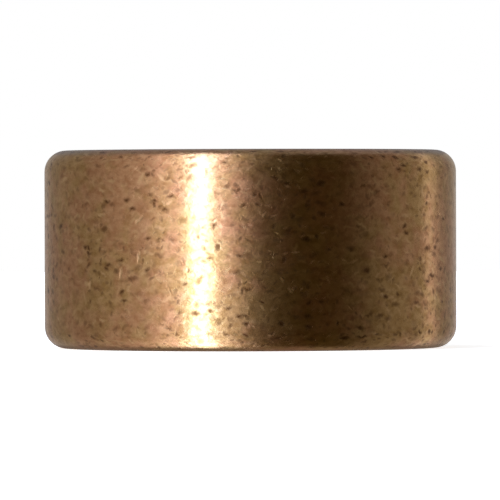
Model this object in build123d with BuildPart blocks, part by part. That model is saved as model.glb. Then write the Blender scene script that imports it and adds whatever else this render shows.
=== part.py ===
"""Plain sleeve bushing of porous bronze, pressed and sized as one piece. Units are millimetres.

The sleeve stands on one end face with its axis along +Z, and the origin is the centre of that face.
The shaft runs in the bore, and the outside is pressed into the housing.
"""

from build123d import *

import os

# --- Driving dimensions ------------------------------------------------------------------------

bore_diameter = 20.0  # the shaft runs in this
wall_thickness = 2.5  # from the bore to the outside
sleeve_length = 12.0  # end face to end face
outer_edge_radius = 1.3  # rounding that leads the outside into its housing
bore_edge_chamfer = 0.4  # leg of the chamfer at each mouth of the bore

# --- Dimensions that follow --------------------------------------------------------------------

bore_radius = bore_diameter / 2
outside_diameter = bore_diameter + 2 * wall_thickness

# Each end face keeps a flat ring at least as wide as the chamfer, however thin the wall is made.
rounding_radius = min(outer_edge_radius, wall_thickness - 2 * bore_edge_chamfer)
flat_ring_width = wall_thickness - rounding_radius - bore_edge_chamfer

# --- Sleeve ------------------------------------------------------------------------------------

# The section of the wall is a rectangle in the XZ plane, and one turn about Z makes the sleeve.
# Its two outer corners become the rounded edges, and its two inner corners the mouths of the bore.
with BuildPart() as bushing_sleeve:
    with BuildSketch(Plane.XZ) as wall_section:
        with Locations((bore_radius, 0)):
            Rectangle(wall_thickness, sleeve_length, align=(Align.MIN, Align.MIN))
        corners = wall_section.vertices().group_by(Axis.X)
        fillet(corners[-1], radius=rounding_radius)
        chamfer(corners[0], length=bore_edge_chamfer)
    revolve(axis=Axis.Z)

bushing_sleeve.part.label = "bushing_sleeve"

# --- Sizes and export --------------------------------------------------------------------------

print(f"outside {outside_diameter:.2f}, straight for {sleeve_length - 2 * rounding_radius:.2f}")
print(f"bore {bore_diameter:.2f}, straight for {sleeve_length - 2 * bore_edge_chamfer:.2f}")
print(f"flat ring on each end face {flat_ring_width:.2f} wide")
print(f"volume {bushing_sleeve.part.volume:.1f} cubic millimetres")

os.makedirs("parts", exist_ok=True)
export_step(bushing_sleeve.part, "parts/bushing_sleeve.step")
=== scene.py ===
# %% [markdown]
# # A bushing of porous bronze
#
# A sleeve bushing is the simplest of bearings: a short bronze tube, pressed into a housing, in which
# a shaft turns. This one is pressed from bronze powder and sintered, so its wall is full of fine
# pores that hold the lubricant. A last squeeze through a polished die burnishes the outside.
#
# The lesson loads the exact part, sets up a small light studio round it, and then spends most of its
# effort on the metal, because a bushing has so little shape that its surface is nearly all there is.

# %% The frame
import math

import bpy
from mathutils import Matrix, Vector


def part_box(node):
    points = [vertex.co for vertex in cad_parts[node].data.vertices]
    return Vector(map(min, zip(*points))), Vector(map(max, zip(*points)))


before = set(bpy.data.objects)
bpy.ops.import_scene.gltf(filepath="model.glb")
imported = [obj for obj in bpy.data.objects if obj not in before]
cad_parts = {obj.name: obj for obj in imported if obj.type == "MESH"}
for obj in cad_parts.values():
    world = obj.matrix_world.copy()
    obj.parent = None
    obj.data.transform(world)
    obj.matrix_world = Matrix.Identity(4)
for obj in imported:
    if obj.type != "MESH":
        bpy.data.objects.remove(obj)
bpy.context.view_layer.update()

mm_per_metre = 1000.0
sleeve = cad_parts["bushing_sleeve"]
lowest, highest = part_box("bushing_sleeve")
outside_radius = (highest.x - lowest.x) / 2
length = highest.z - lowest.z
print(f"sleeve: {mm_per_metre * 2 * outside_radius:.1f} mm across, {mm_per_metre * length:.1f} mm long")

# %% [markdown]
# ## Two helpers
#
# A hex colour is easy to pick and compare, but it is written in sRGB, and Blender's sockets take
# linear light. One function does the turn. The other adds a shader node, sets its properties and
# fills its sockets, so that a material reads as a list of steps.
#
# Some nodes have sockets that share a name, and those are filled by number. A Mix node of colours
# takes its share in socket 0 and its two colours in sockets 6 and 7, and gives its colour in 2.

# %% Helpers
def linear(hex_colour):
    """The linear RGBA of an sRGB colour such as #C08040."""
    shares = [int(hex_colour[i:i + 2], 16) / 255 for i in (1, 3, 5)]
    turned = [s / 12.92 if s <= 0.04045 else ((s + 0.055) / 1.055) ** 2.4 for s in shares]
    return (*turned, 1.0)


def add_node(tree, kind, sockets=None, **properties):
    """Adds a shader node. A socket is given a value to keep, or a node or output to link to."""
    made = tree.nodes.new("ShaderNode" + kind)
    for name, value in properties.items():
        setattr(made, name, value)
    for name, value in (sockets or {}).items():
        if isinstance(value, bpy.types.Node):
            value = value.outputs[0]
        if isinstance(value, bpy.types.NodeSocket):
            tree.links.new(value, made.inputs[name])
        else:
            made.inputs[name].default_value = value
    return made


# %% [markdown]
# ## The camera
#
# The sleeve is looked at square from the side, from far away with a long lens. That keeps its two
# rims nearly straight. The eye is a third of the way down the sleeve, so neither end face shows.

# %% Camera
image_width_px = 500
sleeve_width_px = 411.7
eye_distance = 35.2 * outside_radius
eye_height = 0.725 * length
level_row_px = 204.5
axis_column_px = 250.3
roll_degrees = 0.15

tangent_of_edge = outside_radius / math.sqrt(eye_distance ** 2 - outside_radius ** 2)
focal_px = sleeve_width_px / 2 / tangent_of_edge
middle_px = image_width_px / 2

camera_data = bpy.data.cameras.new("camera")
camera_data.sensor_width = 36.0
camera_data.lens = focal_px * camera_data.sensor_width / image_width_px
camera_data.clip_start = 0.01
camera_data.clip_end = 10.0
camera = bpy.data.objects.new("camera", camera_data)
bpy.context.scene.collection.objects.link(camera)
camera.location = (0.0, -eye_distance, eye_height)
down = math.atan((middle_px - level_row_px) / focal_px)
aside = math.atan((axis_column_px - middle_px) / focal_px)
camera.rotation_euler = (math.pi / 2 - down, math.radians(roll_degrees), aside)
bpy.context.scene.camera = camera
print(f"lens {camera_data.lens:.0f} mm, {mm_per_metre * eye_distance:.0f} mm away")

# %% [markdown]
# ## The studio
#
# Polished metal has no colour of its own to show: it shows the room. A good room for a small turned
# part is a tent of white cloth with bright and dark strips hung round it. A tall strip draws one
# straight bright line along a cylinder, and a dark gap beside it draws the deep shade that makes it
# look round.
#
# The tent could be built from lamps and cards, but every card would have to be hidden from the
# camera. It is quicker to write it into the world. The trick is to place each panel by where its
# reflection falls on the sleeve. A mirror sends the light of one direction to the camera when it
# faces half way between the two, so the code works out that half-way direction and reads two angles
# from it: how far round the sleeve it faces, and how far it leans up or down.

# %% Colour management
bpy.context.scene.view_settings.view_transform = "Standard"
print("view transform:", bpy.context.scene.view_settings.view_transform)

# %% The half-way direction
towards_camera = (0.0, -1.0, 0.0)

world = bpy.data.worlds.new("light_tent")
world.use_nodes = True
bpy.context.scene.world = world
tent = world.node_tree
tent.nodes.clear()

look = add_node(tent, "TexCoord").outputs["Generated"]
between = add_node(tent, "VectorMath", {0: look, 1: towards_camera}, operation="ADD")
half_way = add_node(tent, "VectorMath", {0: between}, operation="NORMALIZE")
part = add_node(tent, "SeparateXYZ", {0: half_way})
forward = add_node(tent, "Math", {0: part.outputs["Y"], 1: -1.0}, operation="MULTIPLY")
faces_round = add_node(tent, "Math", {0: part.outputs["X"], 1: forward}, operation="ARCTAN2")
leans = add_node(tent, "Math", {0: part.outputs["Z"]}, operation="ARCSINE")
print(len(tent.nodes), "nodes turn a direction into two angles")

# %% Walls of the tent
# Each panel: where it falls round the sleeve in degrees, its half width and soft edge, how bright
# it is, and its colour. Zero faces the camera, and plus is to the camera's right.
cloth_white = "#FFFFFF"
strip_white = "#C0E0FF"
halo_white = "#F0ECFF"
tent_panels = {
    "backdrop on the right rim": (90, 3, 15, 0.25, cloth_white),
    "backdrop on the left rim": (-90, 3, 15, 0.25, cloth_white),
    "left wall": (-55, 20, 20, 0.2, cloth_white),
    "main strip": (-13.8, 0.5, 3, 9, strip_white),
    "main strip's halo": (-15, 4, 14, 0.95, halo_white),
    "haze round the halo": (-20, 5, 30, 0.2, cloth_white),
    "right wall": (65, 10, 35, 0.2, cloth_white),
    "right strip": (60, 1, 4, 0.4, cloth_white),
}
dark_room = "#38301C"

walls = linear(dark_room)[:3]
for name, (degrees_round, half_width, soft_edge, brightness, tone) in tent_panels.items():
    off = add_node(tent, "Math", {0: faces_round, 1: math.radians(degrees_round)},
                   operation="SUBTRACT")
    off = add_node(tent, "Math", {0: off}, operation="ABSOLUTE")
    panel = add_node(tent, "MapRange", {
        "Value": off,
        "From Min": math.radians(half_width),
        "From Max": math.radians(half_width + soft_edge),
        "To Min": brightness,
        "To Max": 0.0,
    }, interpolation_type="SMOOTHERSTEP")
    walls = add_node(tent, "VectorMath", {0: panel, 1: linear(tone)[:3], 2: walls},
                     operation="MULTIPLY_ADD")
    print(f"{name}: at {degrees_round} degrees")

# %% Foot, roof and floor
# The cloth catches some light from the table at its foot. Above it is a roof, and below it the
# floor of the room, both a plain grey.
foot_glow = 1.2
foot_from_degrees = -12.0
foot_full_degrees = -40.0
roof_colour = "#80848C"
roof_from_degrees = 42.0
roof_full_degrees = 56.0
floor_colour = "#787068"
floor_from_degrees = 46.0
floor_full_degrees = 61.0
cover_hides = 0.98

foot = add_node(tent, "MapRange", {
    "Value": leans,
    "From Min": math.radians(foot_from_degrees),
    "From Max": math.radians(foot_full_degrees),
    "To Min": 1.0,
    "To Max": foot_glow,
}, interpolation_type="SMOOTHSTEP")
walls = add_node(tent, "VectorMath", {0: walls, "Scale": foot}, operation="SCALE")
roof = add_node(tent, "MapRange", {
    "Value": leans,
    "From Min": math.radians(roof_from_degrees),
    "From Max": math.radians(roof_full_degrees),
    "To Max": cover_hides,
}, interpolation_type="SMOOTHSTEP")
floor = add_node(tent, "MapRange", {
    "Value": leans,
    "From Min": math.radians(-floor_from_degrees),
    "From Max": math.radians(-floor_full_degrees),
    "To Max": cover_hides,
}, interpolation_type="SMOOTHSTEP")
all_round = add_node(tent, "Mix", {0: roof, 6: walls, 7: linear(roof_colour)},
                     data_type="RGBA").outputs[2]
all_round = add_node(tent, "Mix", {0: floor, 6: all_round, 7: linear(floor_colour)},
                     data_type="RGBA").outputs[2]
print(f"roof from {roof_from_degrees:.0f} degrees up, floor from {floor_from_degrees:.0f} down")

# %% White backdrop
# The camera itself sees plain white where the sleeve isn't. A mirror or glass sees that white
# too, where it looks straight back at the sheet behind the sleeve.
white = "#FFFFFF"
sheet_half_angle_degrees = 3.0

ray = add_node(tent, "LightPath")
mirrored = add_node(tent, "Math", {0: ray.outputs["Is Glossy Ray"],
                                   1: ray.outputs["Is Transmission Ray"]}, operation="MAXIMUM")
backwards = add_node(tent, "SeparateXYZ", {0: look}).outputs["Y"]
sheet_edge = math.cos(math.radians(sheet_half_angle_degrees))
on_sheet = add_node(tent, "Math", {0: backwards, 1: sheet_edge}, operation="GREATER_THAN")
mirrored = add_node(tent, "Math", {0: mirrored, 1: on_sheet}, operation="MULTIPLY")
seen = add_node(tent, "Math", {0: ray.outputs["Is Camera Ray"], 1: mirrored}, operation="MAXIMUM")
shown = add_node(tent, "Mix", {0: seen, 6: all_round, 7: linear(white)},
                 data_type="RGBA").outputs[2]
background = add_node(tent, "Background", {"Color": shown, "Strength": 1.0})
add_node(tent, "OutputWorld", {"Surface": background})
print(len(tent.nodes), "nodes in the tent")

# %% [markdown]
# ## The table
#
# A white table top takes the sleeve's soft shadow. It glows a little to the camera, so that it is as
# white as the backdrop, and mirrors don't see it: the sleeve then shows the tent down to its foot.
# It lies a hair below the sleeve, because two faces in one plane flicker.

# %% Table top
table_half_side = 0.5
table_gap = 0.00001
table_mesh = bpy.data.meshes.new("table")
corners = [(-1, -1), (1, -1), (1, 1), (-1, 1)]
table_mesh.from_pydata([(table_half_side * x, table_half_side * y, 0) for x, y in corners], [],
                       [(0, 1, 2, 3)])
table = bpy.data.objects.new("table", table_mesh)
bpy.context.scene.collection.objects.link(table)
table.location.z = lowest.z - table_gap
table.visible_glossy = False
print(f"table top {mm_per_metre * table_gap:.2f} mm below the sleeve")

# %% White paper
# Uncoated paper: it scatters light evenly to all sides and has no gloss.
paper_white = "#F4F4F4"
table_glow = 0.8
paper = bpy.data.materials.new("white_paper")
paper.use_nodes = True
sheet = paper.node_tree
sheet.nodes.clear()
matt = add_node(sheet, "BsdfDiffuse", {"Color": linear(paper_white)})
camera_ray = add_node(sheet, "LightPath").outputs["Is Camera Ray"]
glow_strength = add_node(sheet, "Math", {0: camera_ray, 1: table_glow}, operation="MULTIPLY")
glow = add_node(sheet, "Emission", {"Color": linear(white), "Strength": glow_strength})
both = add_node(sheet, "AddShader", {0: matt.outputs[0], 1: glow.outputs[0]})
add_node(sheet, "OutputMaterial", {"Surface": both.outputs[0]})
table_mesh.materials.append(paper)
print("paper glows at", table_glow, "to the camera alone")

# %% [markdown]
# ## Porous bronze
#
# Sintered bronze is made from grains of powder about a tenth of a millimetre across, pressed and
# baked until they grow together. The gaps between the grains stay open. Where the surface cuts
# through a gap, it shows as a dark pit, and burnishing draws the pit out into a short dash.
#
# Bronze is fully metallic. It sends back about three quarters of red light, two fifths of green and
# one fifth of blue, and a surface burnished in a die has a roughness near 0.2. The finish starts
# from those numbers. A single grain is too fine to show from this far, so the tooth of the surface
# is drawn some four times as coarse as the grains.
#
# The patterns need coordinates that run evenly over the whole skin. Each point is moved straight
# onto one tall cylinder: the outside stays where it is, and an end face is rolled up above or below
# it, as if the skin were peeled off. No seam is left, because nothing is cut open.

# %% The skin rolled onto a cylinder, in millimetres
# Burnished porous bronze: the eye gets a warm metal with long soft highlights and a grain of specks.
bronze = bpy.data.materials.new("porous_bronze")
bronze.use_nodes = True
metal = bronze.node_tree
metal.nodes.clear()

radius_mm = mm_per_metre * outside_radius
length_mm = mm_per_metre * length
peeled_down_mm = 0.2 * length_mm
peeled_up_mm = 0.8 * length_mm

metres = add_node(metal, "TexCoord").outputs["Object"]
spot = add_node(metal, "VectorMath", {0: metres, "Scale": mm_per_metre}, operation="SCALE")
level = add_node(metal, "VectorMath", {0: spot, 1: (1.0, 1.0, 0.0)}, operation="MULTIPLY")
from_axis = add_node(metal, "VectorMath", {0: level}, operation="LENGTH").outputs["Value"]
outwards = add_node(metal, "VectorMath", {0: level}, operation="NORMALIZE")
height = add_node(metal, "SeparateXYZ", {0: spot}).outputs["Z"]
peel = add_node(metal, "MapRange", {
    "Value": height,
    "From Min": peeled_down_mm,
    "From Max": peeled_up_mm,
    "To Min": -1.0,
    "To Max": 1.0,
})
inwards = add_node(metal, "Math", {0: radius_mm, 1: from_axis}, operation="SUBTRACT")
rolled = add_node(metal, "Math", {0: inwards, 1: peel, 2: height}, operation="MULTIPLY_ADD")
rolled = add_node(metal, "CombineXYZ", {"Z": rolled})
skin = add_node(metal, "VectorMath", {0: outwards, 1: (radius_mm,) * 3, 2: rolled},
                operation="MULTIPLY_ADD")
print(f"skin: {2 * math.pi * radius_mm:.1f} mm round and {length_mm:.1f} mm high")

# %% [markdown]
# ## Pits and nicks
#
# A pit is an open gap between grains that the die has dragged out, and a nick is a scrape across
# them. There are thousands. To paint each one would take days, and a plain noise gives clouds, not
# marks. A Voronoi texture suits them better. It scatters one point in each small cell, and gives the
# place of the nearest one and a chance colour with it. The place puts a dash round the point, and
# the colour gives every dash a turn, a size and a depth of its own.
#
# Such dashes would be neat ovals, so the skin is first shifted a little by a fine noise. That makes
# their edges ragged, as broken grains are.

# %% Ragged skin
ragged_spacing_mm = 0.28
ragged_shift_mm = 0.26
middle_grey = (0.5, 0.5, 0.5)

sideways = add_node(metal, "VectorMath", {0: (0.0, 0.0, 1.0), 1: outwards},
                    operation="CROSS_PRODUCT")
ragged = add_node(metal, "TexNoise", {"Vector": skin, "Scale": 1 / ragged_spacing_mm,
                                      "Detail": 1.0})
ragged = add_node(metal, "VectorMath", {0: ragged.outputs["Color"], 1: middle_grey},
                  operation="SUBTRACT")
ragged_skin = add_node(metal, "VectorMath", {0: ragged, 1: (ragged_shift_mm,) * 3, 2: skin},
                       operation="MULTIPLY_ADD")
print(f"edges are shifted by up to {ragged_shift_mm / 2} mm")

# %% One layer of dashes
# Each layer reads another part of the pattern, so its points are shifted sideways and up. A dash
# reaches 1 / 0.4 = 2.5 times as far through the skin as across it, so that more of them are cut.
up_for_sideways = 1.7
thinness = 0.4
smallest, largest = 0.6, 1.2
full_depth_at = 0.1


def dashes(shift_mm, spacing_mm, half_length_mm, half_width_mm, share, turn_degrees):
    """Short marks in a share of the skin's cells, as a depth from 0 to 1."""
    moved = add_node(metal, "VectorMath", {
        0: ragged_skin, 1: (shift_mm, 0.0, up_for_sideways * shift_mm),
    }, operation="ADD")
    cells = add_node(metal, "TexVoronoi", {"Vector": moved, "Scale": 1 / spacing_mm,
                                           "Randomness": 1.0})
    chances = add_node(metal, "SeparateColor", {0: cells.outputs["Color"]})
    offset = add_node(metal, "VectorMath", {0: moved, 1: cells.outputs["Position"]},
                      operation="SUBTRACT")
    along = add_node(metal, "VectorMath", {0: offset, 1: sideways}, operation="DOT_PRODUCT")
    up = add_node(metal, "SeparateXYZ", {0: offset})
    out = add_node(metal, "VectorMath", {0: offset, 1: outwards}, operation="DOT_PRODUCT")
    flat = add_node(metal, "CombineXYZ", {"X": along.outputs["Value"], "Y": up.outputs["Z"],
                                          "Z": out.outputs["Value"]})
    turn = add_node(metal, "MapRange", {
        "Value": chances.outputs["Red"],
        "To Min": math.radians(turn_degrees[0]),
        "To Max": math.radians(turn_degrees[1]),
    })
    turned = add_node(metal, "VectorRotate", {"Vector": flat, "Angle": turn},
                      rotation_type="Z_AXIS")
    shape = (1 / half_length_mm, 1 / half_width_mm, thinness / half_width_mm)
    squeezed = add_node(metal, "VectorMath", {0: turned, 1: shape}, operation="MULTIPLY")
    reach = add_node(metal, "VectorMath", {0: squeezed}, operation="LENGTH").outputs["Value"]
    size = add_node(metal, "MapRange", {"Value": chances.outputs["Green"], "To Min": smallest,
                                        "To Max": largest})
    reach = add_node(metal, "Math", {0: reach, 1: size}, operation="DIVIDE")
    depth = add_node(metal, "MapRange", {
        "Value": reach, "From Min": 1.0, "From Max": full_depth_at, "To Min": 0.0, "To Max": 1.0,
    }, interpolation_type="SMOOTHSTEP")
    strength = add_node(metal, "MapRange", {
        "Value": chances.outputs["Blue"], "From Min": 1.0 - share, "From Max": 1.0,
        "To Min": 0.0, "To Max": 1.0,
    })
    return add_node(metal, "Math", {0: depth, 1: strength}, operation="MULTIPLY")


# %% Layers of marks
long_pits = dashes(shift_mm=0.0, spacing_mm=0.74, half_length_mm=0.50, half_width_mm=0.22,
                   share=0.85, turn_degrees=(-35, 35))
short_pits = dashes(shift_mm=31.0, spacing_mm=0.64, half_length_mm=0.32, half_width_mm=0.21,
                    share=0.85, turn_degrees=(0, 180))
small_pits = dashes(shift_mm=67.0, spacing_mm=0.46, half_length_mm=0.25, half_width_mm=0.15,
                    share=1.0, turn_degrees=(-60, 60))
nicks = dashes(shift_mm=113.0, spacing_mm=1.1, half_length_mm=0.60, half_width_mm=0.13,
               share=0.4, turn_degrees=(20, 160))
fibres = dashes(shift_mm=171.0, spacing_mm=0.70, half_length_mm=0.60, half_width_mm=0.17,
                share=0.9, turn_degrees=(-70, 70))
rough_grains = dashes(shift_mm=211.0, spacing_mm=0.55, half_length_mm=0.36, half_width_mm=0.12,
                      share=0.9, turn_degrees=(-60, 60))
print(len(metal.nodes), "nodes so far, for six layers of marks")

# %% Pits together
# The small pits are shallow. Pits crowd together in some patches and are fainter in others.
small_pit_depth = 0.6
patch_mm = 4.0
faint_patch = 0.45
faint_below = 0.38
full_above = 0.55

pit = add_node(metal, "Math", {0: long_pits, 1: short_pits}, operation="MAXIMUM")
small_pits = add_node(metal, "Math", {0: small_pits, 1: small_pit_depth}, operation="MULTIPLY")
pit = add_node(metal, "Math", {0: pit, 1: small_pits}, operation="MAXIMUM")
crowding = add_node(metal, "TexNoise", {"Vector": skin, "Scale": 1 / patch_mm, "Detail": 1.0})
crowding = add_node(metal, "MapRange", {
    "Value": crowding.outputs["Fac"],
    "From Min": faint_below,
    "From Max": full_above,
    "To Min": faint_patch,
    "To Max": 1.0,
})
pit = add_node(metal, "Math", {0: pit, 1: crowding}, operation="MULTIPLY")
print(f"pits crowd in patches about {patch_mm:.0f} mm apart")

# %% [markdown]
# ## Wide pores and scratches
#
# A few pores are wider than the rest, and a few scratches cross the burnish. The eye picks these out
# first, so they have places of their own. They could be scattered too, but then nobody could say
# where they go. Instead, one node a mark measures how far off it is, and the nearest one counts.
# The skin is opened flat for that, and stretched so that a round spot becomes an oval.
#
# One node a mark is all that there is room for: Cycles keeps the values of a material on a small
# stack, and a material that overflows it renders black.

# %% Places of the wide pores and scratches
# Degrees round from the front, and height in millimetres. The angle is wrapped, so that the back
# half of the skin repeats the front half.
wide_pores = [
    (-52, 6.2), (-43, 8.9), (-38, 5.4), (-37, 3), (-36, 9), (-34, 8.5), (-29, 10.5),
    (-29, 6.7), (-27, 8.9), (-24, 8.4), (-22, 9.2), (-18, 4), (-11, 2.4), (-11, 5.5),
    (-10, 7.5), (-7, 11.3), (-6, 2.6), (-3, 5.7), (-3, 2.1), (40, 3.2), (40, 5.6),
    (45, 10.8), (48, 7), (54, 10.8), (58, 4.1), (61, 4.4), (66, 4.8), (68, 7.8),
]
upright_scratches = [(-50, 4), (-38, 4.6), (-32, 5.6)]
slanting_scratches = [(-32, 7.8)]

skin_part = add_node(metal, "SeparateXYZ", {0: ragged_skin})
front = add_node(metal, "Math", {0: skin_part.outputs["Y"], 1: -1.0}, operation="MULTIPLY")
round_angle = add_node(metal, "Math", {0: skin_part.outputs["X"], 1: front}, operation="ARCTAN2")
half_turned = add_node(metal, "Math", {0: round_angle, 1: math.pi / 2, 2: -math.pi / 2},
                       operation="WRAP")
arc = add_node(metal, "Math", {0: half_turned, 1: radius_mm}, operation="MULTIPLY")
opened = add_node(metal, "CombineXYZ", {"X": arc, "Y": skin_part.outputs["Z"]})
print(len(wide_pores), "placed pores,", len(upright_scratches + slanting_scratches), "scratches")

# %% Marks that each have a place
far_off_mm = 10.0


def placed(places, tilt_degrees, half_length_mm, half_width_mm, slope_mm):
    """The depth, from 0 to 1, of alike marks that each have a place."""
    tilt = math.radians(tilt_degrees)
    slimness = half_length_mm / half_width_mm
    own_axes = add_node(metal, "Mapping", {
        "Vector": opened, "Rotation": (0.0, 0.0, tilt), "Scale": (slimness, 1.0, 1.0),
    }, vector_type="TEXTURE")
    nearest = far_off_mm
    for degrees_round, height_mm in places:
        middle = Vector((math.radians(degrees_round) * radius_mm, height_mm))
        along = (middle.x * math.cos(tilt) + middle.y * math.sin(tilt)) / slimness
        across = middle.y * math.cos(tilt) - middle.x * math.sin(tilt)
        away = add_node(metal, "VectorMath", {0: own_axes, 1: (along, across, 0.0)},
                        operation="DISTANCE").outputs["Value"]
        nearest = add_node(metal, "Math", {0: nearest, 1: away}, operation="MINIMUM")
    return add_node(metal, "MapRange", {
        "Value": nearest, "From Min": half_width_mm, "From Max": half_width_mm - slope_mm,
    }, interpolation_type="SMOOTHSTEP")


wide_pits = dashes(shift_mm=251.0, spacing_mm=1.3, half_length_mm=0.42, half_width_mm=0.26,
                   share=0.8, turn_degrees=(-40, 40))
placed_pits = placed(wide_pores, tilt_degrees=0, half_length_mm=0.4, half_width_mm=0.22,
                     slope_mm=0.24)
any_pit = add_node(metal, "Math", {0: wide_pits, 1: placed_pits}, operation="MAXIMUM")
any_pit = add_node(metal, "Math", {0: pit, 1: any_pit}, operation="MAXIMUM")
upright = placed(upright_scratches, tilt_degrees=80, half_length_mm=0.56, half_width_mm=0.16,
                 slope_mm=0.15)
slanting = placed(slanting_scratches, tilt_degrees=40, half_length_mm=0.52, half_width_mm=0.15,
                  slope_mm=0.15)
scratch = add_node(metal, "Math", {0: upright, 1: slanting}, operation="MAXIMUM")
print(len(metal.nodes), "nodes with the wide pores and scratches")

# %% [markdown]
# ## Colour
#
# Bronze is copper and tin, and the powder is never mixed quite evenly. Oil and heat tint it as well,
# so the sleeve is mottled in pink, olive, dull and pale. One flat colour would look like plastic.
# Three noises do the mottling. Blotches about a millimetre across, set against the slow drift of the
# tarnish, choose between olive and pink. Finer specks, drawn out sideways by the die, choose between
# dull and pale. The two results are mixed half and half.
#
# Bare metal shows bright in fibres and scratches. The pits are painted brown: partly for the oil that
# fills them, and partly as painted shade in their hollows.

# %% Noises for the colour
blotch_mm = 1.2
speckle_mm = 0.65
speckle_roughness = 0.6
tarnish_mm = 5.0
tarnish_start = 11.0
drawn_out = (1.0, 1.0, 1.6)

blotch = add_node(metal, "TexNoise", {"Vector": skin, "Scale": 1 / blotch_mm, "Detail": 4.0})
flat_skin = add_node(metal, "VectorMath", {0: ragged_skin, 1: drawn_out}, operation="MULTIPLY")
speckle = add_node(metal, "TexNoise", {"Vector": flat_skin, "Scale": 1 / speckle_mm,
                                       "Detail": 3.0, "Roughness": speckle_roughness})
tarnish = add_node(metal, "TexNoise", {"Vector": skin, "W": tarnish_start,
                                       "Scale": 1 / tarnish_mm, "Detail": 1.0},
                   noise_dimensions="4D")
print(f"blotches {blotch_mm} mm, specks {speckle_mm} mm and tarnish {tarnish_mm} mm apart")

# %% Bronze colours
pink_bronze = "#EAAA82"
olive_bronze = "#D8B070"
dull_bronze = "#B98350"
pale_bronze = "#FCCA97"
bright_bronze = "#FFCF9A"
# The pores' brown is partly their oil and partly painted shade in their hollows.
pore_oil_and_painted_shade = "#70482A"
half_and_half = 0.5
all_olive_at = -0.14
all_pink_at = 0.16
all_dull_at = 0.33
all_pale_at = 0.67

redness = add_node(metal, "Math", {0: blotch.outputs["Fac"], 1: tarnish.outputs["Fac"]},
                   operation="SUBTRACT")
pinkness = add_node(metal, "MapRange", {"Value": redness, "From Min": all_olive_at,
                                        "From Max": all_pink_at})
paleness = add_node(metal, "MapRange", {"Value": speckle.outputs["Fac"], "From Min": all_dull_at,
                                        "From Max": all_pale_at})
tinted = add_node(metal, "Mix", {0: pinkness, 6: linear(olive_bronze), 7: linear(pink_bronze)},
                  data_type="RGBA").outputs[2]
shaded = add_node(metal, "Mix", {0: paleness, 6: linear(dull_bronze), 7: linear(pale_bronze)},
                  data_type="RGBA").outputs[2]
burnished = add_node(metal, "Mix", {0: half_and_half, 6: tinted, 7: shaded},
                     data_type="RGBA").outputs[2]
bright = add_node(metal, "Math", {0: fibres, 1: scratch}, operation="MAXIMUM")
burnished = add_node(metal, "Mix", {0: bright, 6: burnished, 7: linear(bright_bronze)},
                     data_type="RGBA").outputs[2]
# Pits take the pore colour: partly oil, partly painted shade where the hollows lie in shadow.
colour = add_node(metal, "Mix", {0: any_pit, 6: burnished, 7: linear(pore_oil_and_painted_shade)},
                  data_type="RGBA").outputs[2]
print("bronze from", dull_bronze, "to", pale_bronze, "with pores of", pore_oil_and_painted_shade)

# %% [markdown]
# ## Relief
#
# The burnished skin isn't quite flat: it dips softly where powder was loose, and has a fine tooth
# like leather. All of it is about a hundredth of a millimetre high. The mesh could carry it only
# with millions of faces, so a bump node tilts the light instead, and the outline stays true.
#
# The wide pores are left out of the relief. Bump works out its height three times over, and with
# them it would need more of the stack than there is.

# %% Relief
# Heights are in millimetres and add up. A minus sign cuts into the metal.
dip_spacing_mm = 1.2
tooth_spacing_mm = 0.4
dip_mm = 0.014
tooth_mm = 0.009
pit_mm = -0.005
nick_mm = -0.008
scratch_mm = -0.012
metres_per_mm = 0.001

dips = add_node(metal, "TexNoise", {"Vector": skin, "Scale": 1 / dip_spacing_mm,
                                    "Detail": 1.0}).outputs["Fac"]
tooth = add_node(metal, "TexNoise", {"Vector": flat_skin,
                                     "Scale": 1 / tooth_spacing_mm}).outputs["Fac"]
relief = add_node(metal, "Math", {0: dips, 1: dip_mm}, operation="MULTIPLY")
relief = add_node(metal, "Math", {0: tooth, 1: tooth_mm, 2: relief}, operation="MULTIPLY_ADD")
relief = add_node(metal, "Math", {0: pit, 1: pit_mm, 2: relief}, operation="MULTIPLY_ADD")
relief = add_node(metal, "Math", {0: nicks, 1: nick_mm, 2: relief}, operation="MULTIPLY_ADD")
relief = add_node(metal, "Math", {0: scratch, 1: scratch_mm, 2: relief}, operation="MULTIPLY_ADD")
bump = add_node(metal, "Bump", {"Height": relief, "Distance": metres_per_mm, "Strength": 1.0})
print(f"relief: dips of {dip_mm} mm, scratches of {-scratch_mm} mm")

# %% [markdown]
# ## The burnish
#
# A hard polished die leaves bronze smooth, but not evenly so. Some grains, and the scratches, missed
# the burnish and are rougher than the rest. A pit is rougher still: it takes its light from the whole
# room, so in a dark reflection it hardly shows. One roughness for all would make the pits look
# painted on, so each kind of mark adds its own.

# %% Metal
burnished_roughness = 0.205
unburnished_extra = 0.16
pit_extra = 0.09

unburnished = add_node(metal, "Math", {0: rough_grains, 1: scratch}, operation="MAXIMUM")
roughness = add_node(metal, "Math", {0: unburnished, 1: unburnished_extra,
                                     2: burnished_roughness}, operation="MULTIPLY_ADD")
roughness = add_node(metal, "Math", {0: any_pit, 1: pit_extra, 2: roughness},
                     operation="MULTIPLY_ADD")
surface = add_node(metal, "BsdfPrincipled", {
    "Base Color": colour, "Metallic": 1.0, "Roughness": roughness, "Normal": bump,
})
add_node(metal, "OutputMaterial", {"Surface": surface})
for slot in sleeve.material_slots:
    slot.material = bronze
print("bronze on", len(sleeve.material_slots), "slot")
